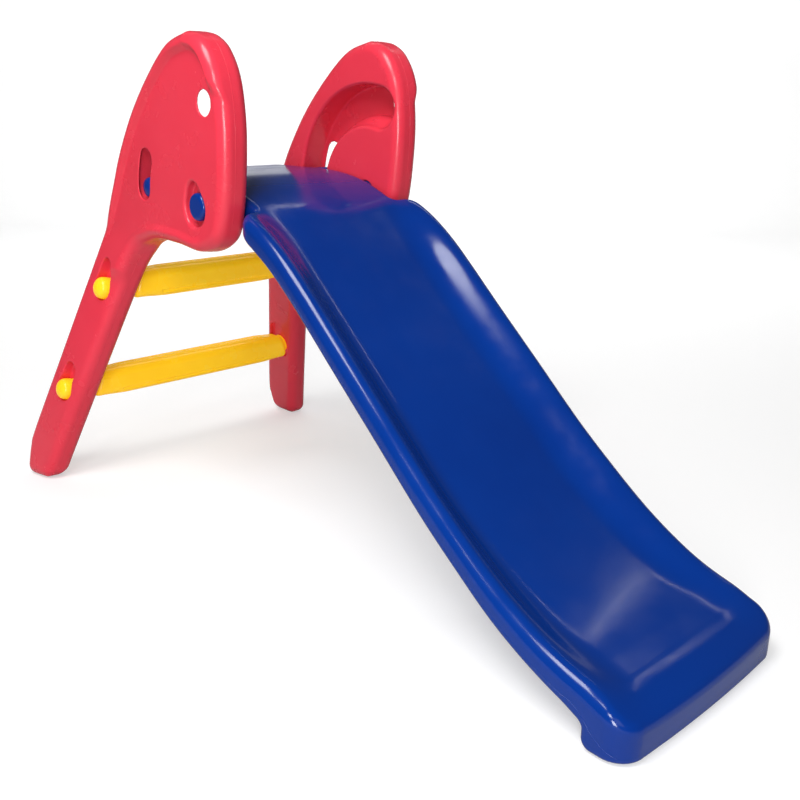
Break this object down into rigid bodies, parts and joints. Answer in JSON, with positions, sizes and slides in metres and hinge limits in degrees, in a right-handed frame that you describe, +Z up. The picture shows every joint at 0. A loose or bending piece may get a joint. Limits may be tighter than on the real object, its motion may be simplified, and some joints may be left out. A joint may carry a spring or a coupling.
{
  "type": "toddler slide",
  "caption": "Low plastic slide for toddlers with a curved chute and deck, tall rounded side panels on splayed legs, ladder rungs and a fold joint for storage.",
  "frame": {"origin": "on the floor, under the middle of the slide's overall length and width", "axes": "+X down the slide towards its exit, +Y to the left of a child facing down the slide, +Z up"},
  "size_m": [1.1523, 0.5816, 0.711],
  "materials": {
    "chute_plastic": "smooth glossy blow-moulded polyethylene, deep blue",
    "panel_plastic": "glossy blow-moulded polyethylene, red",
    "rung_plastic": "glossy blow-moulded polyethylene, yellow"
  },
  "bodies": {
    "chute": {"chute": "chute_plastic"},
    "ladder": {"right_side_panel": "panel_plastic", "left_side_panel": "panel_plastic", "upper_rung": "rung_plastic", "lower_rung": "rung_plastic"}
  },
  "joints": [
    {"name": "fold", "type": "hinge", "parent": "chute", "child": "ladder", "pos_m": [-0.153, 0, 0.488], "axis": [0, -1, 0], "range_deg": [0, 93]}
  ]
}
